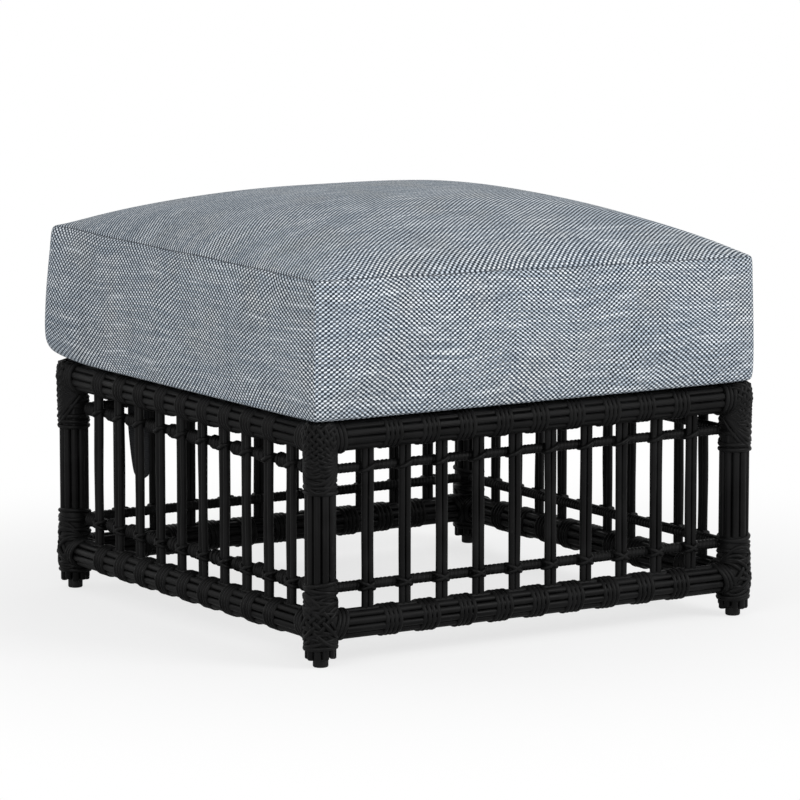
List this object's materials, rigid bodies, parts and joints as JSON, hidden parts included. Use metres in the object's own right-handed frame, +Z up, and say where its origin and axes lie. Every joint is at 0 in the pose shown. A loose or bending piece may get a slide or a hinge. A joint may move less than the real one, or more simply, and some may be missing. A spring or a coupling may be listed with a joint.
{
  "type": "outdoor ottoman footstool",
  "caption": "Square outdoor footstool: dark reed-wrapped open frame with paired spindles, bound corners, webbing deck and a loose blue-grey box cushion.",
  "frame": {"origin": "on the floor under the middle of the footstool", "axes": "+Z up; +X to the right seen from the front; the front faces -Y and the cushion's zip is on the +Y side"},
  "size_m": [0.61, 0.61, 0.494],
  "materials": {
    "aluminium_tube": "mill finish tube, hidden under the reeds",
    "black_reed": "extruded resin reed, charcoal black, low sheen",
    "black_binding": "wound resin strand, charcoal black, low sheen",
    "black_glide": "moulded foot glide, scuffed underneath",
    "deck_webbing": "ribbed elastic webbing",
    "cover_fabric": "basket-woven outdoor cloth, navy and off-white yarns",
    "seat_foam": "open-cell foam core",
    "zip_tape": "woven zip tape with a coil chain",
    "zip_metal": "painted die-cast slider and pull"
  },
  "bodies": {
    "frame": {"bottom_corner_binding_back_left": "black_binding", "bottom_corner_binding_back_right": "black_binding", "bottom_corner_binding_front_left": "black_binding", "bottom_corner_binding_front_right": "black_binding", "bottom_rail_reeds_back": "black_reed", "bottom_rail_reeds_front": "black_reed", "bottom_rail_reeds_left": "black_reed", "bottom_rail_reeds_right": "black_reed", "bottom_rail_tube_back": "aluminium_tube", "bottom_rail_tube_front": "aluminium_tube", "bottom_rail_tube_left": "aluminium_tube", "bottom_rail_tube_right": "aluminium_tube", "deck_bearer_back": "aluminium_tube", "deck_bearer_front": "aluminium_tube", "deck_bearer_left": "aluminium_tube", "deck_bearer_right": "aluminium_tube", "deck_strap_x_1": "deck_webbing", "deck_strap_x_2": "deck_webbing", "deck_strap_x_3": "deck_webbing", "deck_strap_x_4": "deck_webbing", "deck_strap_y_1": "deck_webbing", "deck_strap_y_2": "deck_webbing", "deck_strap_y_3": "deck_webbing", "deck_strap_y_4": "deck_webbing", "glide_back_left": "black_glide", "glide_back_right": "black_glide", "glide_front_left": "black_glide", "glide_front_right": "black_glide", "leg_reeds_back_left": "black_reed", "leg_reeds_back_right": "black_reed", "leg_reeds_front_left": "black_reed", "leg_reeds_front_right": "black_reed", "leg_tube_back_left": "aluminium_tube", "leg_tube_back_right": "aluminium_tube", "leg_tube_front_left": "aluminium_tube", "leg_tube_front_right": "aluminium_tube", "spindle_grille_back": "black_reed", "spindle_grille_front": "black_reed", "spindle_grille_left": "black_reed", "spindle_grille_right": "black_reed", "top_corner_binding_back_left": "black_binding", "top_corner_binding_back_right": "black_binding", "top_corner_binding_front_left": "black_binding", "top_corner_binding_front_right": "black_binding", "top_rail_reeds_back": "black_reed", "top_rail_reeds_front": "black_reed", "top_rail_reeds_left": "black_reed", "top_rail_reeds_right": "black_reed", "top_rail_tube_back": "aluminium_tube", "top_rail_tube_front": "aluminium_tube", "top_rail_tube_left": "aluminium_tube", "top_rail_tube_right": "aluminium_tube"},
    "cushion": {"cushion_cover": "cover_fabric", "cushion_foam": "seat_foam", "zip_tape": "zip_tape"},
    "slider": {"zip_slider": "zip_metal"},
    "pull": {"zip_pull": "zip_metal"}
  },
  "joints": [
    {"name": "cushion_lift", "type": "slide", "parent": "frame", "child": "cushion", "axis": [0, 0, 1], "range_m": [0, 0.25]},
    {"name": "zip_slide", "type": "slide", "parent": "cushion", "child": "slider", "axis": [1, 0, 0], "range_m": [0, 0.433]},
    {"name": "pull_swing", "type": "hinge", "parent": "slider", "child": "pull", "pos_m": [-0.2165, 0.3002, 0.35315], "axis": [0, 0, 1], "range_deg": [0, 170]}
  ]
}
